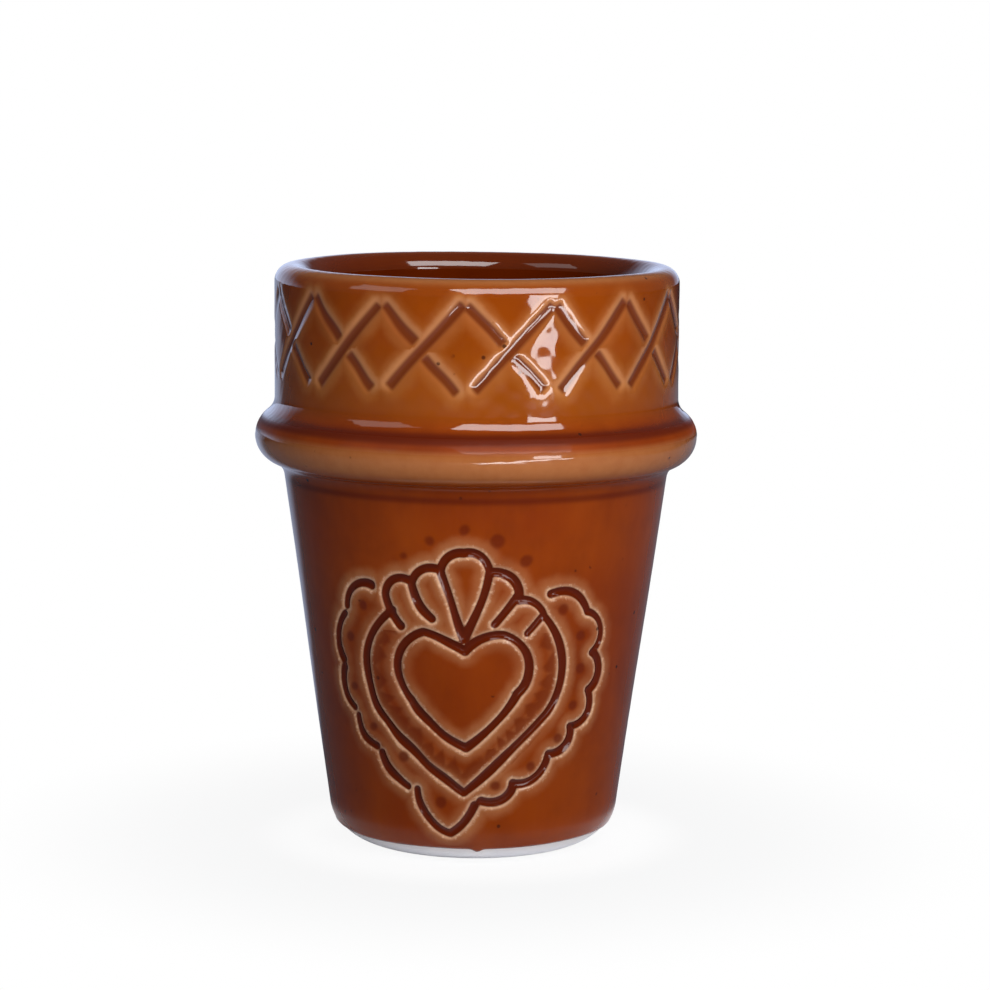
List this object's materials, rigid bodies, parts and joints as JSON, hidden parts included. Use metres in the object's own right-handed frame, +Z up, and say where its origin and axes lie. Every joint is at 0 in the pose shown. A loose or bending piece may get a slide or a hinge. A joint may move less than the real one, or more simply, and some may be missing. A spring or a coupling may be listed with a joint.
{
  "type": "clay cup",
  "caption": "Handle-less glazed clay cup: rounded lip, upright band pressed with a lozenge lattice, bulging ring, tapered wall with a carved heart, bare foot.",
  "frame": {"origin": "middle of the foot, on the surface that the cup stands on", "axes": "+Z up along the cup's axis; the carved heart faces -Y; +X to the viewer's right"},
  "size_m": [0.0802, 0.0802, 0.105],
  "materials": {
    "bare_clay": "matt bare fired clay, pale, slightly sandy",
    "amber_glaze": "glossy amber-brown glaze, darker where it pools in the carving and paler on edges",
    "inside_glaze": "glossy amber-brown glaze, plain"
  },
  "bodies": {
    "root": {"clay_body": "bare_clay", "outer_glaze": "amber_glaze", "inner_glaze": "inside_glaze"}
  },
  "joints": []
}
